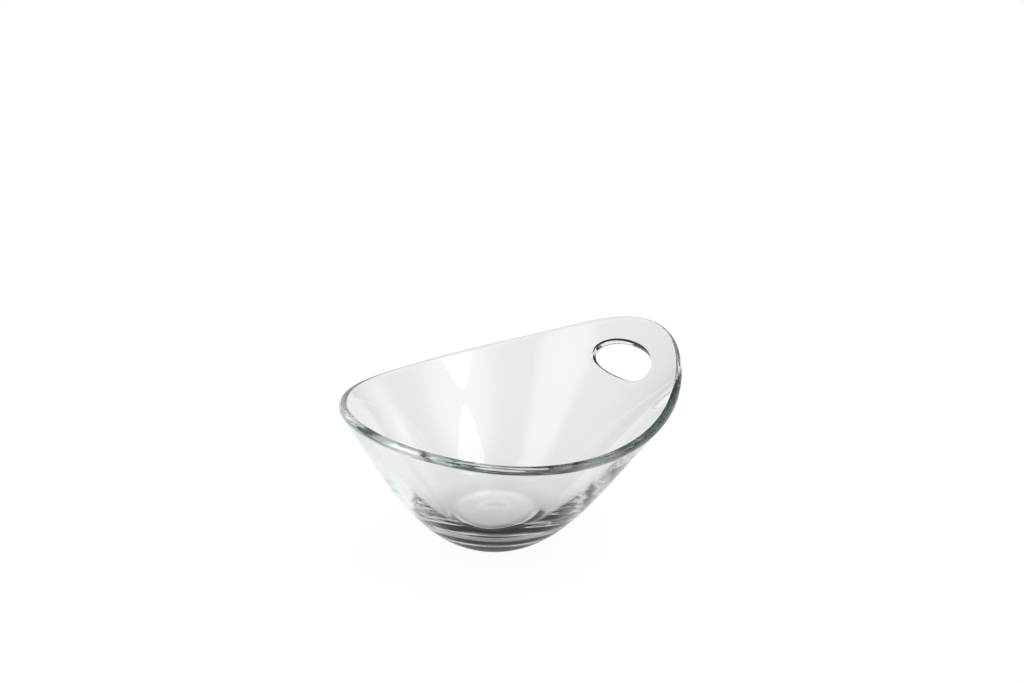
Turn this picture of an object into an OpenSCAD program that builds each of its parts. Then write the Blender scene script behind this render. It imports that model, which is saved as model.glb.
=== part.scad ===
// Tapas bowl: one piece of pressed clear glass, a round bowl on a small flat foot.
// Its rim dips at both sides, lifts a little at the far end, and climbs at the other
// end into a broad tab that is pierced by a finger hole.
// The origin is the centre of the foot on the table, +Z is up, and the tab points to +X.

/* [Foot and base] */
// Diameter of the flat foot
foot_d = 27; // [20:0.5:32]
// Diameter of the shallow hollow under the foot
recess_d = 19; // [12:0.5:19]
// Depth of that hollow at its middle
recess_h = 0.9; // [0.3:0.1:1.5]
// Thickness of the glass under the flat floor
base_t = 10; // [7:0.5:13]
// Diameter of the flat floor inside
floor_d = 30; // [22:1:34]

/* [Wall] */
// Radius of the outside at the height of the tab's tip
mouth_r = 67.5; // [64:0.5:71]
// Slope at which the outside leaves the foot, above the table
foot_slope = 21; // [16:1:26]
// How far the outside holds that slope before it bends up
foot_reach = 23.5; // [20:0.5:27]
// Slope of the outside at the height of the tab's tip
mouth_slope = 49; // [44:1:54]
// How far below the tip the outside already runs at that slope
mouth_reach = 32; // [24:0.5:36]
// Shift of the mouth towards the tab, against the foot
lean = 4.8; // [0:0.2:6]
// Share by which the mouth is wider than it is long, measured on the wall
oval_share = 0.03; // [0:0.005:0.08]
// Thickness of the wall at the rim
wall_t = 2.7; // [2.4:0.1:3.6]
// Thickness of the wall where it meets the heavy base
wall_low_t = 4.6; // [4:0.1:6]
// Height on the outside at which the heavy base ends
base_h = 13; // [11:0.5:16]

/* [Rim] */
// Lowest height of the rim, at the sides
side_h = 48.6; // [45:0.1:51]
// Height of the rim at the end away from the tab
end_h = 53.2; // [51.5:0.1:56]
// Height of the tab's tip
tip_h = 67.4; // [65:0.1:70]
// Turn from the tab to the rim's lowest point, in degrees
low_turn = 102; // [95:1:110]
// How narrow the tab's last rise is, as a power
tab_power = 14.4; // [10:0.1:18]

/* [Finger hole] */
// Width of the hole across the tab, at the outside face
hole_w = 28.4; // [24:0.2:31]
// Height of the hole there, measured upright
hole_h = 9.6; // [8:0.2:11]
// Height of the hole's middle above the table
hole_z = 53.4; // [52.6:0.1:54.4]
// How much wider the hole is at the inside face, on each side
hole_draft = 1.2; // [0:0.1:1.6]
// Radius that rounds the hole's two edges
hole_round = 0.9; // [0.4:0.1:1.1]
// Squareness of the oval: 2 is an ellipse
hole_power = 2.16; // [2:0.02:2.6]

/* [Hidden] */

// Counts of facets and rows
dome_facets = 96;
tab_columns = 20;
round_columns = 52;
base_rows = 6;
wall_rows = 18;
lip_rows = 8;
floor_rows = 6;
hole_rings = 4;
edge_steps = 3;
solve_steps = 22;

// Half angle of the stretch with closer columns, then the columns and rows of the patch round the hole
tab_turn = 25;
patch_half_columns = 8;
patch_first_row = 9;
patch_last_row = 17;

// Depth by which the hollow's cutter starts below the table
overrun = 1;

// How the lean grows with height: 1 is straight, more keeps it to the upper wall
lean_power = 1.5;

// Share of the width between floor and wall that each end of the floor's curve holds its slope
floor_bend_share = 0.5;

foot_r = foot_d / 2;
recess_r = recess_d / 2;
floor_r = floor_d / 2;
hole_half_w = hole_w / 2;
hole_half_h = hole_h / 2;
columns = tab_columns + round_columns;

// Outside of the wall at the tab, as one cubic curve of radius and height
outer_p0 = [foot_r, 0];
outer_p3 = [mouth_r, tip_h];
outer_p1 = outer_p0 + foot_reach * [cos(foot_slope), sin(foot_slope)];
outer_p2 = outer_p3 - mouth_reach * [cos(mouth_slope), sin(mouth_slope)];

function cubic(p0, p1, p2, p3, t) =
    p0 * pow(1 - t, 3) + p1 * (3 * t * pow(1 - t, 2)) + p2 * (3 * t * t * (1 - t)) + p3 * pow(t, 3);

function cubic_slope(p0, p1, p2, p3, t) =
    let (d = (p1 - p0) * pow(1 - t, 2) + (p2 - p1) * (2 * t * (1 - t)) + (p3 - p2) * (t * t))
    d / norm(d);

function outer(t) = cubic(outer_p0, outer_p1, outer_p2, outer_p3, t);
function along(t) = cubic_slope(outer_p0, outer_p1, outer_p2, outer_p3, t);
function inward(t) = let (d = along(t)) [-d[1], d[0]];

// Place on the curve whose point at a share q of the thickness reaches height z
function find_t(z, q, lo = 0, hi = 1, n = solve_steps) =
    n == 0 ? (lo + hi) / 2 :
    let (mid = (lo + hi) / 2)
    through(mid, q)[1] < z ? find_t(z, q, mid, hi, n - 1) : find_t(z, q, lo, mid, n - 1);

base_top = base_curve_t(base_h);
function base_curve_t(z, lo = 0, hi = 1, n = solve_steps) =
    n == 0 ? (lo + hi) / 2 :
    let (mid = (lo + hi) / 2)
    outer(mid)[1] < z ? base_curve_t(z, mid, hi, n - 1) : base_curve_t(z, lo, mid, n - 1);

// Thickness of the wall, which thins smoothly from the base to the tip
function wall_at(t) =
    let (s = (1 - t) / (1 - base_top))
    wall_t + (wall_low_t - wall_t) * s * s;

// Point at a share q of the way through the wall: 0 is the outside, 1 the inside
function through(t, q) = outer(t) + inward(t) * (wall_at(t) * q);

// Top of the rounded lip when the wall stops at t
function lip_top(t) = through(t, 1 / 2)[1] + wall_at(t) / 2;
function find_lip(z, lo = 0, hi = 1, n = solve_steps) =
    n == 0 ? (lo + hi) / 2 :
    let (mid = (lo + hi) / 2)
    lip_top(mid) < z ? find_lip(z, mid, hi, n - 1) : find_lip(z, lo, mid, n - 1);

// Height of the rim all round: a shallow dip at the sides plus the tab's narrow rise
low_cos = cos(low_turn);
dip_gain = (end_h - side_h) / pow(1 + low_cos, 2);
tab_gain = tip_h - side_h - dip_gain * pow(1 - low_cos, 2);
function rim_h(a) =
    side_h + dip_gain * pow(cos(a) - low_cos, 2) + tab_gain * pow((1 + cos(a)) / 2, tab_power);

// Radius and height, turned to angle a and laid on the oval, leaning plan
function place(p, a) =
    let (w = max(0, p[1]) / tip_h)
    [
        p[0] * cos(a) * (1 - oval_share * w) + lean * pow(w, lean_power),
        p[0] * sin(a) * (1 + oval_share * w),
        p[1]
    ];

// Angle of each column, closer together across the tab
function column_angle(i) =
    i <= tab_columns
        ? tab_turn * (2 * i / tab_columns - 1)
        : tab_turn + (360 - 2 * tab_turn) * (i - tab_columns) / round_columns;

// The wall stops at lip_t, and its rows are spread evenly between the base and there
angles = [for (i = [0 : columns - 1]) column_angle(i)];
lip_ts = [for (a = angles) find_lip(rim_h(a))];
function row_t(j, i) = base_top + (lip_ts[i] - base_top) * j / wall_rows;
function base_row_t(j) = base_top * j / base_rows;

// The inside of the base: from the wall down to the flat floor in one curve
floor_p0 = [floor_r, base_t];
floor_p3 = through(base_top, 1);
floor_bend = (floor_p3[0] - floor_r) * floor_bend_share;
floor_p1 = floor_p0 + [floor_bend, 0];
floor_p2 = floor_p3 - floor_bend * along(base_top);

// One column of points, from the foot's edge up the outside, over the lip and in to the floor
function lip_point(t, s) =
    let (half = wall_at(t) / 2)
    through(t, 1 / 2) + along(t) * (half * sin(180 * s)) - inward(t) * (half * cos(180 * s));

function section(i) = concat(
    [for (j = [0 : base_rows - 1]) outer(base_row_t(j))],
    [for (j = [0 : wall_rows]) outer(row_t(j, i))],
    [for (j = [1 : lip_rows - 1]) lip_point(lip_ts[i], j / lip_rows)],
    [for (j = [wall_rows : -1 : 0]) through(row_t(j, i), 1)],
    [for (j = [floor_rows - 1 : -1 : 0]) cubic(floor_p0, floor_p1, floor_p2, floor_p3, j / floor_rows)]
);

rows = base_rows + 2 * (wall_rows + 1) + lip_rows - 1 + floor_rows;
out_row0 = base_rows;
in_row0 = base_rows + 2 * wall_rows + lip_rows;
shell_points = [for (i = [0 : columns - 1]) for (p = section(i)) place(p, angles[i])];
function at(i, j) = ((i + columns) % columns) * rows + j;

// Columns and rows of the patch that the hole is cut in
mid_column = tab_columns / 2;
patch_left = mid_column - patch_half_columns;
patch_right = mid_column + patch_half_columns;
function out_row(j) = out_row0 + j;
function in_row(j) = in_row0 - j;
function in_patch(i, j) =
    i >= patch_left && i < patch_right
    && ((j >= out_row(patch_first_row) && j < out_row(patch_last_row))
        || (j >= in_row(patch_last_row) && j < in_row(patch_first_row)));

shell_faces = [
    for (i = [0 : columns - 1]) for (j = [0 : rows - 2])
        if (!in_patch(i, j))
            for (f = [[at(i, j), at(i, j + 1), at(i + 1, j)], [at(i + 1, j), at(i, j + 1), at(i + 1, j + 1)]]) f
];
foot_face = [[for (i = [0 : columns - 1]) at(i, 0)]];
floor_face = [[for (i = [columns - 1 : -1 : 0]) at(i, rows - 1)]];

// The patch's border, walked from the lower right corner: up, back, down and across
patch_cols = patch_right - patch_left;
patch_rows = patch_last_row - patch_first_row;
border = concat(
    [for (k = [0 : patch_rows - 1]) [patch_right, patch_first_row + k]],
    [for (k = [0 : patch_cols - 1]) [patch_right - k, patch_last_row]],
    [for (k = [0 : patch_rows - 1]) [patch_left, patch_last_row - k]],
    [for (k = [0 : patch_cols - 1]) [patch_left + k, patch_first_row]]
);
spokes = len(border);

// Each border point as an angle and a place on the wall's curve
border_at = [for (b = border) [angles[b[0]], row_t(b[1], b[0])]];

// The hole's outline, grown by g, as an angle and a place on the curve for each spoke
hole_rise_share = along(find_t(hole_z, 1 / 2))[1];
function bent(v) = sign(v) * pow(abs(v), 2 / hole_power);
function spoke_turn(k) = 360 * (k - patch_rows / 2) / spokes;
function outline(k, g) =
    let (
        y = (hole_half_w + g) * bent(cos(spoke_turn(k))),
        z = hole_z + (hole_half_h + g * hole_rise_share) * bent(sin(spoke_turn(k))),
        t = find_t(z, 1 / 2),
        r = through(t, 1 / 2)[0] * (1 + oval_share * z / tip_h)
    )
    [asin(y / r), t];

// Rings from the border in to the rounded edge, through the wall and out to the other border.
// The hole is widest where its rounded edge meets the inside face.
outer_edge = [for (k = [0 : spokes - 1]) outline(k, hole_round)];
inner_edge = [for (k = [0 : spokes - 1]) outline(k, hole_round + hole_draft)];
function ring_point(k, s, edge, q) =
    let (p = border_at[k] * (1 - s) + edge[k] * s)
    place(through(p[1], q), p[0]);
function edge_point(k, e, inner_side) =
    let (
        d = hole_round * (1 - cos(90 * e)) / wall_t,
        q = inner_side ? 1 - d : d,
        p = outline(k, hole_draft * q + hole_round * (1 - sin(90 * e)))
    )
    place(through(p[1], q), p[0]);

hole_points = concat(
    [for (n = [1 : hole_rings]) for (k = [0 : spokes - 1]) ring_point(k, n / hole_rings, outer_edge, 0)],
    [for (n = [1 : edge_steps]) for (k = [0 : spokes - 1]) edge_point(k, n / edge_steps, false)],
    [for (n = [edge_steps : -1 : 1]) for (k = [0 : spokes - 1]) edge_point(k, n / edge_steps, true)],
    [for (n = [hole_rings : -1 : 1]) for (k = [0 : spokes - 1]) ring_point(k, n / hole_rings, inner_edge, 1)]
);
hole_rows = 2 * (hole_rings + edge_steps);
hole_start = columns * rows;
function hole_at(n, k) =
    n < 0 ? at(border[k][0], out_row(border[k][1]))
    : n >= hole_rows ? at(border[k][0], in_row(border[k][1]))
    : hole_start + n * spokes + k;
hole_faces = [
    for (n = [-1 : hole_rows - 1]) for (k = [0 : spokes - 1])
        let (m = (k + 1) % spokes)
            for (f = [[hole_at(n, k), hole_at(n + 1, k), hole_at(n, m)],
                      [hole_at(n, m), hole_at(n + 1, k), hole_at(n + 1, m)]]) f
];

// The whole pressed shape, lofted column by column
module pressed_glass() {
    polyhedron(
        points = concat(shell_points, hole_points),
        faces = concat(shell_faces, foot_face, floor_face, hole_faces)
    );
}

// Shallow dome that hollows the underside and leaves a flat ring to stand on
module foot_hollow() {
    dome_r = (recess_r * recess_r + recess_h * recess_h) / (2 * recess_h);
    translate([0, 0, recess_h - dome_r])
        intersection() {
            sphere(dome_r, $fn = dome_facets);
            translate([0, 0, dome_r - recess_h - overrun])
                cylinder(h = recess_h + 2 * overrun, r = recess_r + overrun, $fn = dome_facets);
        }
}

module bowl() {
    color([0.86, 0.92, 0.89, 0.4])
        difference() {
            pressed_glass();
            foot_hollow();
        }
}

bowl();
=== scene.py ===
import math

import bpy
import numpy as np
from mathutils import Matrix, Vector


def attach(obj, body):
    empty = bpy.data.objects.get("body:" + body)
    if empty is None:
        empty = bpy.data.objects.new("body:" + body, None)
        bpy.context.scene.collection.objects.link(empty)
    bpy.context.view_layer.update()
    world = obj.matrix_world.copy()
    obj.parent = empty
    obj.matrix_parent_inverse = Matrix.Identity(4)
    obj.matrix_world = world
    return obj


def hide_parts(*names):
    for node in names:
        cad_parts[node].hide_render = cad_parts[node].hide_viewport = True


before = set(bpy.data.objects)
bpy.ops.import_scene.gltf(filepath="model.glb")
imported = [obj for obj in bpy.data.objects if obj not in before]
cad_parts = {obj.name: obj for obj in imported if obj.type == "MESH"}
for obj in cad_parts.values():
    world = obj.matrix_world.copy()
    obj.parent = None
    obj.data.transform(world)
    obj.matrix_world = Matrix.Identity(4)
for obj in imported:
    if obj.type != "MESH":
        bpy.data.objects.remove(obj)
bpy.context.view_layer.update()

# The outside of the bowl, as the mould shapes it: one curve of radius and height in
# millimetres that leaves the small foot at a low slant, swings up into the wall and eases
# over again towards the mouth. The mouth leans to the tab and is a touch wider than long.
FOOT_R = 13.5
FOOT_SLOPE, FOOT_PULL = 21.0, 23.5
MOUTH_R, TIP_H = 67.5, 67.4
MOUTH_SLOPE, MOUTH_PULL = 49.0, 32.0
LEAN, LEAN_POWER = 4.8, 1.5
OVAL_SHARE = 0.03
SLACK_X, SLACK_Y, SLACK_Z = 0.999, 0.9985, 0.9998
MM_PER_M = 1000.0


def direction(degrees):
    return np.array([math.cos(math.radians(degrees)), math.sin(math.radians(degrees))])


OUTSIDE = np.array(
    [
        [FOOT_R, 0.0],
        np.array([FOOT_R, 0.0]) + FOOT_PULL * direction(FOOT_SLOPE),
        np.array([MOUTH_R, TIP_H]) - MOUTH_PULL * direction(MOUTH_SLOPE),
        [MOUTH_R, TIP_H],
    ]
)


def curve(corners, t):
    """The point of a cubic curve at t, from 0 at its start to 1 at its end."""
    t = np.asarray(t, float)[..., None]
    a, b, c, d = corners
    return a * (1 - t) ** 3 + 3 * b * t * (1 - t) ** 2 + 3 * c * t * t * (1 - t) + d * t**3


def heading(corners, t):
    """The direction in which the same curve runs at t."""
    t = np.asarray(t, float)[..., None]
    a, b, c, d = corners
    h = (b - a) * (1 - t) ** 2 + 2 * (c - b) * t * (1 - t) + (d - c) * t * t
    return h / np.linalg.norm(h, axis=-1, keepdims=True)


def place(profile, turn):
    """Radius and height in millimetres, turned about the foot, in metres on the oval plan.
    The slack keeps the smooth glass a hair inside the solid's box."""
    r, z = profile[..., 0], profile[..., 1]
    w = np.clip(z, 0.0, None) / TIP_H
    x = r * np.cos(turn) * (1 - OVAL_SHARE * w) + LEAN * w**LEAN_POWER
    y = r * np.sin(turn) * (1 + OVAL_SHARE * w)
    return np.stack([SLACK_X * x, SLACK_Y * y, SLACK_Z * z], -1) / MM_PER_M


# The inside, as the plunger shapes it. The wall thins from the heavy base to the lip,
# and a soft bend leads it into a small flat floor on a thick disc of solid glass.
WALL, LOW_WALL, BASE_H = 2.7, 4.6, 13.0
FLOOR_R, FLOOR_Z = 15.0, 10.0
FINE_STEPS = 4001
fine = np.linspace(0.0, 1.0, FINE_STEPS)
BASE_T = float(np.interp(BASE_H, curve(OUTSIDE, fine)[:, 1], fine))


def wall_at(t):
    return WALL + (LOW_WALL - WALL) * ((1 - np.asarray(t, float)) / (1 - BASE_T)) ** 2


def inward_of(h):
    return np.stack([-h[..., 1], h[..., 0]], -1)


def through(t, share):
    """A point of the wall at t, from share 0 on the outside to share 1 on the inside."""
    inward = inward_of(heading(OUTSIDE, t))
    return curve(OUTSIDE, t) + inward * (wall_at(t) * share)[..., None]


bend_top = through(np.float64(BASE_T), 1.0)
bend_pull = (bend_top[0] - FLOOR_R) / 2
INSIDE_BEND = np.array(
    [
        [FLOOR_R, FLOOR_Z],
        [FLOOR_R + bend_pull, FLOOR_Z],
        bend_top - bend_pull * heading(OUTSIDE, BASE_T),
        bend_top,
    ]
)

# The rim, fire polished to a full round lip. It dips at both sides, lifts a little at
# the far end and climbs at the other end into the broad tab.
SIDE_H, END_H = 48.6, 53.2
LOW_TURN, TAB_POWER = 102.0, 14.4
TAB_TURN = 25.0
TAB_COLUMNS, ROUND_COLUMNS = 80, 176
COLUMNS = TAB_COLUMNS + ROUND_COLUMNS
low_cos = math.cos(math.radians(LOW_TURN))
lip_tops = through(fine, 0.5)[:, 1] + wall_at(fine) / 2


def rim_height(turn):
    c = np.cos(turn)
    dip = (END_H - SIDE_H) / (1 + low_cos) ** 2
    rise = TIP_H - SIDE_H - dip * (1 - low_cos) ** 2
    return SIDE_H + dip * (c - low_cos) ** 2 + rise * ((1 + c) / 2) ** TAB_POWER


tab_turns = np.linspace(-TAB_TURN, TAB_TURN, TAB_COLUMNS, endpoint=False)
round_turns = np.linspace(TAB_TURN, 360.0 - TAB_TURN, ROUND_COLUMNS, endpoint=False)
turns = np.radians(np.concatenate([tab_turns, round_turns]))
lips = np.interp(rim_height(turns), lip_tops, fine)

# The foot and the skin of the glass. A flat ring stands on the table, round a shallow
# hollow with a soft edge. From its middle one skin runs out and up, over the lip, down
# the inside and across the floor, as rings of points.
RECESS_R, RECESS_H = 9.5, 0.9
HOLLOW_ROWS, RING_ROWS, BASE_ROWS = 10, 5, 24
WALL_ROWS, LIP_ROWS = 72, 18
BEND_ROWS, FLOOR_ROWS = 24, 8


def level_ring(point):
    return np.tile(point, (COLUMNS, 1))


def wall_ring(climb, share):
    """A ring round the wall, from climb 0 at the base to climb 1 just under the lip."""
    return through(BASE_T + (lips - BASE_T) * climb, share)


def lip_ring(bow):
    """A ring of the round lip, from bow 0 on the outside to half a turn on the inside."""
    h = heading(OUTSIDE, lips)
    half = (wall_at(lips) / 2)[:, None]
    along, across = h * half * math.sin(bow), inward_of(h) * half * math.cos(bow)
    return through(lips, 0.5) + along - across


rings = []
for r in np.linspace(0.0, RECESS_R, HOLLOW_ROWS + 1)[1:]:
    rings.append(level_ring(np.array([r, RECESS_H * (1 - (r / RECESS_R) ** 2) ** 2])))
for r in np.linspace(RECESS_R, FOOT_R, RING_ROWS + 1)[1:]:
    rings.append(level_ring(np.array([r, 0.0])))
for t in np.linspace(0.0, BASE_T, BASE_ROWS + 1)[1:-1]:
    rings.append(level_ring(curve(OUTSIDE, t)))
OUT_ROW = len(rings)
climbs = np.linspace(0.0, 1.0, WALL_ROWS + 1)
rings += [wall_ring(climb, 0.0) for climb in climbs]
rings += [lip_ring(bow) for bow in np.linspace(0.0, math.pi, LIP_ROWS + 1)[1:-1]]
rings += [wall_ring(climb, 1.0) for climb in climbs[::-1]]
IN_ROW = len(rings) - 1
for t in np.linspace(1.0, 0.0, BEND_ROWS + 1)[1:]:
    rings.append(level_ring(curve(INSIDE_BEND, t)))
for r in np.linspace(FLOOR_R, 0.0, FLOOR_ROWS + 1)[1:-1]:
    rings.append(level_ring(np.array([r, FLOOR_Z])))
ROWS = len(rings)
skin_points = place(np.stack(rings), turns[None, :]).reshape(-1, 3)
centre_points = place(np.array([[0.0, RECESS_H], [0.0, FLOOR_Z]]), np.zeros(2))
FOOT_CENTRE = len(skin_points)
FLOOR_CENTRE = FOOT_CENTRE + 1


def vertex(row, column):
    return row * COLUMNS + column % COLUMNS


# The finger hole, an oval pierced through the tab while the glass is hot, so that both
# of its edges are well rounded. Its rings fill a window that is left open in the grid of
# the wall, outside and inside, and meet in the hole's own wall.
HOLE_HALF_W, HOLE_HALF_H, HOLE_Z, HOLE_POWER = 14.2, 4.8, 53.4, 2.16
HOLE_ROUND, HOLE_DRAFT = 0.9, 1.2
HOLE_RINGS, EDGE_STEPS = 14, 7
WINDOW_HALF, WINDOW_LOW, WINDOW_HIGH = 32, 36, 68
window_left = TAB_COLUMNS // 2 - WINDOW_HALF
window_right = TAB_COLUMNS // 2 + WINDOW_HALF
border = [(window_right, row) for row in range(WINDOW_LOW, WINDOW_HIGH)]
border += [(column, WINDOW_HIGH) for column in range(window_right, window_left, -1)]
border += [(window_left, row) for row in range(WINDOW_HIGH, WINDOW_LOW, -1)]
border += [(column, WINDOW_LOW) for column in range(window_left, window_right)]
SPOKES = len(border)
border_turn = np.array([turns[column] for column, row in border])
border_t = np.array(
    [BASE_T + (lips[column] - BASE_T) * row / WALL_ROWS for column, row in border]
)
mid_wall = through(fine, 0.5)
hole_t = float(np.interp(HOLE_Z, mid_wall[:, 1], fine))
rise_share = heading(OUTSIDE, hole_t)[1]
spokes = 2 * math.pi * (np.arange(SPOKES) - (WINDOW_HIGH - WINDOW_LOW) / 2) / SPOKES


def hole_outline(grow):
    """Turn and t of the oval's points on the wall, with the oval grown all round."""
    c, s = np.cos(spokes), np.sin(spokes)
    y = (HOLE_HALF_W + grow) * np.sign(c) * np.abs(c) ** (2 / HOLE_POWER)
    half_h = HOLE_HALF_H + grow * rise_share
    z = HOLE_Z + half_h * np.sign(s) * np.abs(s) ** (2 / HOLE_POWER)
    t = np.interp(z, mid_wall[:, 1], fine)
    r = np.interp(z, mid_wall[:, 1], mid_wall[:, 0]) * (1 + OVAL_SHARE * z / TIP_H)
    return np.arcsin(y / r), t


def hole_face(ring, share):
    """A ring on a face of the wall, between the window's border and the rounded edge."""
    turn, t = hole_outline(HOLE_DRAFT * share + HOLE_ROUND)
    s = ring / HOLE_RINGS
    profile = through(border_t * (1 - s) + t * s, share)
    return place(profile, border_turn * (1 - s) + turn * s)


def hole_edge(step, inside):
    """A ring of a rounded edge, from the face at step 0 into the hole at step 1."""
    depth = HOLE_ROUND * (1 - math.cos(math.pi / 2 * step)) / WALL
    share = 1 - depth if inside else depth
    back = HOLE_ROUND * (1 - math.sin(math.pi / 2 * step))
    turn, t = hole_outline(HOLE_DRAFT * share + back)
    return place(through(t, share), turn)


hole_rings = [hole_face(ring, 0.0) for ring in range(1, HOLE_RINGS + 1)]
hole_rings += [hole_edge(n / EDGE_STEPS, False) for n in range(1, EDGE_STEPS + 1)]
hole_rings += [hole_edge(n / EDGE_STEPS, True) for n in range(EDGE_STEPS, 0, -1)]
hole_rings += [hole_face(ring, 1.0) for ring in range(HOLE_RINGS, 0, -1)]
HOLE_START = FLOOR_CENTRE + 1


def hole_vertex(ring, k):
    column, row = border[k]
    if ring < 0:
        return vertex(OUT_ROW + row, column)
    if ring >= len(hole_rings):
        return vertex(IN_ROW - row, column)
    return HOLE_START + ring * SPOKES + k


def in_window(row, column):
    if not window_left <= column < window_right:
        return False
    outside = OUT_ROW + WINDOW_LOW <= row < OUT_ROW + WINDOW_HIGH
    inside = IN_ROW - WINDOW_HIGH <= row < IN_ROW - WINDOW_LOW
    return outside or inside


# The bowl, one piece of glass from foot to tab. The skin, the two middles and the hole
# are joined into one closed mesh, and the points inside the window, which nothing uses,
# are left out.
points = np.concatenate([skin_points, centre_points, *hole_rings])
faces = []
for column in range(COLUMNS):
    after = column + 1
    faces.append((FOOT_CENTRE, vertex(0, after), vertex(0, column)))
    faces.append((FLOOR_CENTRE, vertex(ROWS - 1, column), vertex(ROWS - 1, after)))
    for row in range(ROWS - 1):
        if not in_window(row, column):
            low_edge = (vertex(row, column), vertex(row, after))
            high_edge = (vertex(row + 1, after), vertex(row + 1, column))
            faces.append(low_edge + high_edge)
for ring in range(-1, len(hole_rings)):
    for k in range(SPOKES):
        after = (k + 1) % SPOKES
        outer_edge = (hole_vertex(ring, k), hole_vertex(ring, after))
        inner_edge = (hole_vertex(ring + 1, after), hole_vertex(ring + 1, k))
        faces.append(outer_edge + inner_edge)

used = sorted({v for face in faces for v in face})
number = {v: n for n, v in enumerate(used)}
bowl_mesh = bpy.data.meshes.new("bowl_glass")
bowl_mesh.from_pydata(
    [tuple(points[v]) for v in used],
    [],
    [tuple(number[v] for v in face) for face in faces],
)
bowl_mesh.polygons.foreach_set("use_smooth", [True] * len(bowl_mesh.polygons))
bowl_mesh.update()
bowl = bpy.data.objects.new("bowl_glass", bowl_mesh)
bpy.context.scene.collection.objects.link(bowl)
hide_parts("bowl")
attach(bowl, "root")

# Clear soda glass with the faint green of its iron, which shows only where the light
# runs a long way through it. Pressing leaves the surface very slightly uneven.
GLASS_IOR = 1.52
IRON_GREEN, IRON_DENSITY = (0.47, 0.557, 0.543, 1.0), 5.0
RIPPLE_SCALE, RIPPLE_DETAIL = 45.0, 1.0
RIPPLE_STRENGTH, RIPPLE_H = 0.25, 0.0006
glass = bpy.data.materials.new("clear_pressed_glass")
glass.use_nodes = True
glass_tree = glass.node_tree
glass_output = glass_tree.nodes["Material Output"]
shader = glass_tree.nodes["Principled BSDF"]
shader.inputs["Base Color"].default_value = (1.0, 1.0, 1.0, 1.0)
shader.inputs["Metallic"].default_value = 0.0
shader.inputs["Roughness"].default_value = 0.0
shader.inputs["IOR"].default_value = GLASS_IOR
shader.inputs["Transmission Weight"].default_value = 1.0
absorption = glass_tree.nodes.new("ShaderNodeVolumeAbsorption")
absorption.inputs["Color"].default_value = IRON_GREEN
absorption.inputs["Density"].default_value = IRON_DENSITY
glass_tree.links.new(absorption.outputs["Volume"], glass_output.inputs["Volume"])
on_glass = glass_tree.nodes.new("ShaderNodeTexCoord")
ripple = glass_tree.nodes.new("ShaderNodeTexNoise")
ripple.inputs["Scale"].default_value = RIPPLE_SCALE
ripple.inputs["Detail"].default_value = RIPPLE_DETAIL
uneven = glass_tree.nodes.new("ShaderNodeBump")
uneven.inputs["Strength"].default_value = RIPPLE_STRENGTH
uneven.inputs["Distance"].default_value = RIPPLE_H
glass_tree.links.new(on_glass.outputs["Object"], ripple.inputs["Vector"])
glass_tree.links.new(ripple.outputs["Fac"], uneven.inputs["Height"])
glass_tree.links.new(uneven.outputs["Normal"], shader.inputs["Normal"])
bowl_mesh.materials.append(glass)

# The table top, a wide white sheet. The eye sees it white. Through the glass its glow
# carries a painted shadow under the bowl, darkest on the viewer's side, and a painted pool
# of light below the foot.
TABLE_REACH, TABLE_Z = 6.0, -0.0002
PAPER_GREY, PAPER_ROUGHNESS, PAPER_GLOW = 0.15, 0.9, 0.92
# Spots, radii and strengths of the painted shadow and the painted pool of light, which
# only the glass sees.
SHADE_SPOT, SHADE_INNER, SHADE_OUTER = (-0.016, -0.025, 0.0), 0.012, 0.056
SHADE_DARK, SHADE_LIGHT = 0.30, 0.79
POOL_SPOT, POOL_INNER, POOL_OUTER, POOL_LIGHT = (0.002, 0.003, 0.0), 0.012, 0.016, 0.27
table_mesh = bpy.data.meshes.new("table_top")
table_corners = [
    (-TABLE_REACH, -TABLE_REACH, 0),
    (TABLE_REACH, -TABLE_REACH, 0),
    (TABLE_REACH, TABLE_REACH, 0),
    (-TABLE_REACH, TABLE_REACH, 0),
]
table_mesh.from_pydata(table_corners, [], [(0, 1, 2, 3)])
table = bpy.data.objects.new("table_top", table_mesh)
table.location.z = TABLE_Z
bpy.context.scene.collection.objects.link(table)


def maths(tree, operation, *values):
    node = tree.nodes.new("ShaderNodeMath")
    node.operation = operation
    for socket, value in zip(node.inputs, values):
        if isinstance(value, float):
            socket.default_value = value
        else:
            tree.links.new(value, socket)
    return node.outputs[0]


def compare(tree, operation, value, aim):
    """How far a place is from a spot, or how well a direction agrees with an aim."""
    node = tree.nodes.new("ShaderNodeVectorMath")
    node.operation = operation
    node.inputs[1].default_value = aim
    tree.links.new(value, node.inputs[0])
    return node.outputs["Value"]


def ramp(tree, value, start, end, low, high):
    """A soft step from low, where the value is at the start, to high at the end."""
    node = tree.nodes.new("ShaderNodeMapRange")
    node.interpolation_type = "SMOOTHSTEP"
    node.inputs["From Min"].default_value = start
    node.inputs["From Max"].default_value = end
    node.inputs["To Min"].default_value = low
    node.inputs["To Max"].default_value = high
    tree.links.new(value, node.inputs["Value"])
    return node.outputs["Result"]


white = bpy.data.materials.new("white_table")
white.use_nodes = True
table_tree = white.node_tree
table_output = table_tree.nodes["Material Output"]
paper = table_tree.nodes["Principled BSDF"]
paper.inputs["Base Color"].default_value = (PAPER_GREY, PAPER_GREY, PAPER_GREY, 1.0)
paper.inputs["Roughness"].default_value = PAPER_ROUGHNESS
paper.inputs["Specular IOR Level"].default_value = 0.0
table_ray = table_tree.nodes.new("ShaderNodeLightPath").outputs
on_table = table_tree.nodes.new("ShaderNodeTexCoord").outputs["Object"]
# Painted shadow: the glow seen through the glass is darker near a spot under the bowl.
from_shade = compare(table_tree, "DISTANCE", on_table, SHADE_SPOT)
painted_shadow = ramp(table_tree, from_shade, SHADE_INNER, SHADE_OUTER, SHADE_DARK, SHADE_LIGHT)
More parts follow.
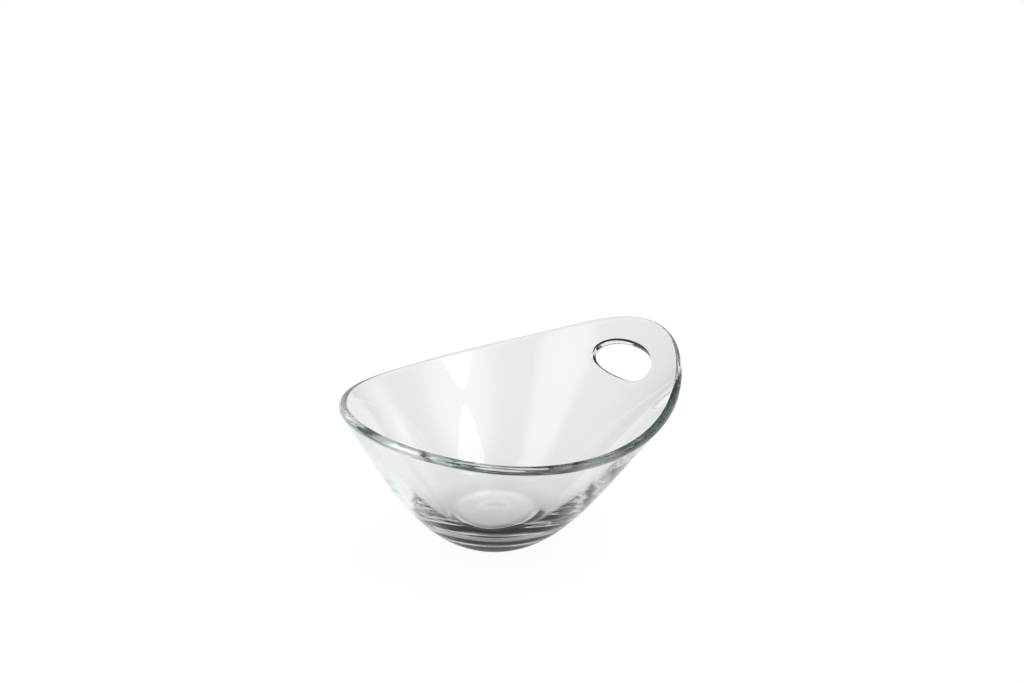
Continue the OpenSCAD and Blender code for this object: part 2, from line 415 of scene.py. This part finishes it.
# Painted pool of light: extra glow round a spot below the foot.
from_pool = compare(table_tree, "DISTANCE", on_table, POOL_SPOT)
painted_pool = ramp(table_tree, from_pool, POOL_INNER, POOL_OUTER, POOL_LIGHT, 0.0)
mirrored, bent = table_ray["Is Glossy Ray"], table_ray["Is Transmission Ray"]
in_glass = maths(table_tree, "MAXIMUM", mirrored, bent)
painted_shadow_and_pool = maths(table_tree, "ADD", painted_shadow, painted_pool)
through_glass = maths(table_tree, "MULTIPLY", in_glass, painted_shadow_and_pool)
to_eye = table_ray["Is Camera Ray"]
paper_strength = maths(table_tree, "MULTIPLY_ADD", to_eye, PAPER_GLOW, through_glass)
paper_light = table_tree.nodes.new("ShaderNodeEmission")
paper_light.inputs["Color"].default_value = (1, 1, 1, 1)
table_tree.links.new(paper_strength, paper_light.inputs["Strength"])
lit_paper = table_tree.nodes.new("ShaderNodeAddShader")
table_tree.links.new(paper.outputs["BSDF"], lit_paper.inputs[0])
table_tree.links.new(paper_light.outputs["Emission"], lit_paper.inputs[1])
table_tree.links.new(lit_paper.outputs["Shader"], table_output.inputs["Surface"])
table_mesh.materials.append(white)

# The studio round it. The eye sees a white sweep. The glass sees a bright wall on the
# viewer's side, mostly to the right, a soft light at the left, and a dark room behind.
ROOM_ON_PAPER = 0.6
studio = bpy.data.worlds.new("studio")
bpy.context.scene.world = studio
studio.use_nodes = True
studio_tree = studio.node_tree
studio_ray = studio_tree.nodes.new("ShaderNodeLightPath").outputs
around = studio_tree.nodes.new("ShaderNodeTexCoord").outputs["Generated"]


def outwards(azimuth, elevation):
    a, e = math.radians(azimuth), math.radians(elevation)
    return Vector((math.cos(a) * math.cos(e), math.sin(a) * math.cos(e), math.sin(e)))


def glow(aim, start, end, strength):
    """Light that grows as a direction nears the aim."""
    nearness = compare(studio_tree, "DOT_PRODUCT", around, aim)
    return ramp(studio_tree, nearness, start, end, 0.0, strength)


# A Mix node has sockets A, B and Result for each kind of data: these are the colours.
COLOUR_A, COLOUR_B, COLOUR_RESULT = 6, 7, 2


def blend(share, light, grey):
    """The light where the share is 0, and an even grey where it is 1."""
    node = studio_tree.nodes.new("ShaderNodeMix")
    node.data_type = "RGBA"
    node.inputs[COLOUR_B].default_value = (grey, grey, grey, 1)
    studio_tree.links.new(share, node.inputs["Factor"])
    studio_tree.links.new(light, node.inputs[COLOUR_A])
    return node.outputs[COLOUR_RESULT]


bright_wall = glow(outwards(-88, 24), start=0.70, end=0.93, strength=1.3)
side_light = glow(outwards(172, 43), start=0.93, end=0.99, strength=1.1)
viewer_side = glow(outwards(-105, 0), start=-0.75, end=-0.2, strength=0.75)
low_down = glow(outwards(0, -90), start=-0.42, end=-0.25, strength=1.0)
sweep = maths(studio_tree, "MULTIPLY", viewer_side, low_down)
viewer_light = maths(studio_tree, "MAXIMUM", bright_wall, sweep)
room = maths(studio_tree, "MAXIMUM", viewer_light, side_light)
white_to_eye = blend(studio_ray["Is Camera Ray"], room, 1.0)
even_on_paper = blend(studio_ray["Is Diffuse Ray"], white_to_eye, ROOM_ON_PAPER)
studio_tree.links.new(even_on_paper, studio_tree.nodes["Background"].inputs["Color"])

# The soft box, an oval lamp high up at the viewer's right. It shows in the glass twice,
# as the bright patch on the far wall and as the streak below it.
BOX_W, BOX_L, BOX_WATTS = 0.7, 0.5, 1.9
BOX_TURN, BOX_RISE, BOX_ROLL, BOX_AWAY = -64.0, 62.6, 26.0, 1.05
BOWL_MIDDLE = Vector((0.0, 0.0, 0.04))
box_light = bpy.data.lights.new("soft_box", "AREA")
box_light.shape = "ELLIPSE"
box_light.size, box_light.size_y = BOX_W, BOX_L
box_light.energy = BOX_WATTS


def facing(away, roll):
    """The turn of a lamp or camera that stands out along away and looks back along it."""
    rolled = Matrix.Rotation(math.radians(roll), 3, "Z")
    return (away.to_track_quat("Z", "Y").to_matrix() @ rolled).to_euler()


box_side = outwards(BOX_TURN, BOX_RISE)
box = bpy.data.objects.new("soft_box", box_light)
box.location = BOWL_MIDDLE + BOX_AWAY * box_side
box.rotation_euler = facing(box_side, BOX_ROLL)
bpy.context.scene.collection.objects.link(box)

# The camera, at the height and turn that the photograph was taken from, with its lens
# shifted as the photograph's framing needs. A turn of 0 looks along +Y. Light is followed
# for many bounces, because it runs to and fro inside the thick glass.
PHOTO_W, FOCAL_LENGTH, SHIFT_RIGHT, SHIFT_UP = 1024.0, 850.0, 17.59, 86.66
SENSOR_W, NEAREST = 36.0, 0.01
CAMERA_TURN, CAMERA_RISE, CAMERA_ROLL, CAMERA_AWAY = -33.13, 22.78, 0.03, 0.28757
BOUNCES = 64
lens = bpy.data.cameras.new("camera")
lens.sensor_width = SENSOR_W
lens.lens = FOCAL_LENGTH * SENSOR_W / PHOTO_W
lens.shift_x = SHIFT_RIGHT / PHOTO_W
lens.shift_y = SHIFT_UP / PHOTO_W
lens.clip_start = NEAREST
camera_side = outwards(CAMERA_TURN - 90.0, CAMERA_RISE)
camera = bpy.data.objects.new("camera", lens)
camera.location = BOWL_MIDDLE + CAMERA_AWAY * camera_side
camera.rotation_euler = facing(camera_side, CAMERA_ROLL)
bpy.context.scene.collection.objects.link(camera)
bpy.context.scene.camera = camera
bpy.context.scene.view_settings.view_transform = "Standard"
bpy.context.scene.cycles.max_bounces = BOUNCES
bpy.context.scene.cycles.transmission_bounces = BOUNCES
bpy.context.scene.cycles.glossy_bounces = BOUNCES
